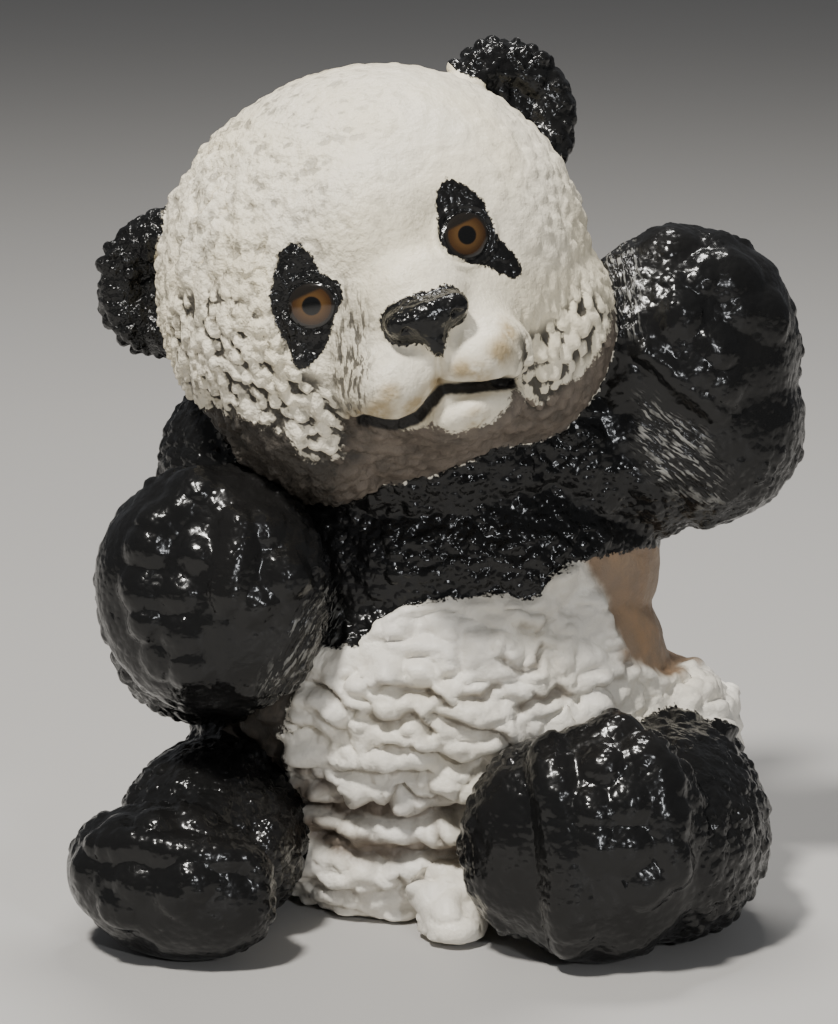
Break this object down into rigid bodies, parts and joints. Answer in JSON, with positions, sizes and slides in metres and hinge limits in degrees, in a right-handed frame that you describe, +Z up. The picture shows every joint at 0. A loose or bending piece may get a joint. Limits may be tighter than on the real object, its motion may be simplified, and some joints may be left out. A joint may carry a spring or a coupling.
{
  "type": "panda figurine",
  "caption": "Sitting panda cub figurine, head tilted, one paw raised beside the head and one held forward, soles turned out, painted black and white over tufted wool carving.",
  "frame": {"origin": "on the floor under the middle of the figurine's bounding box", "axes": "+Z up, the cub faces -Y, and its raised paw is on the +X side"},
  "size_m": [0.0382, 0.0298, 0.045],
  "materials": {
    "painted_plastic": "satin cream white and glossy black paint over grey-tan plastic"
  },
  "bodies": {
    "root": {"panda": "painted_plastic"}
  },
  "joints": []
}
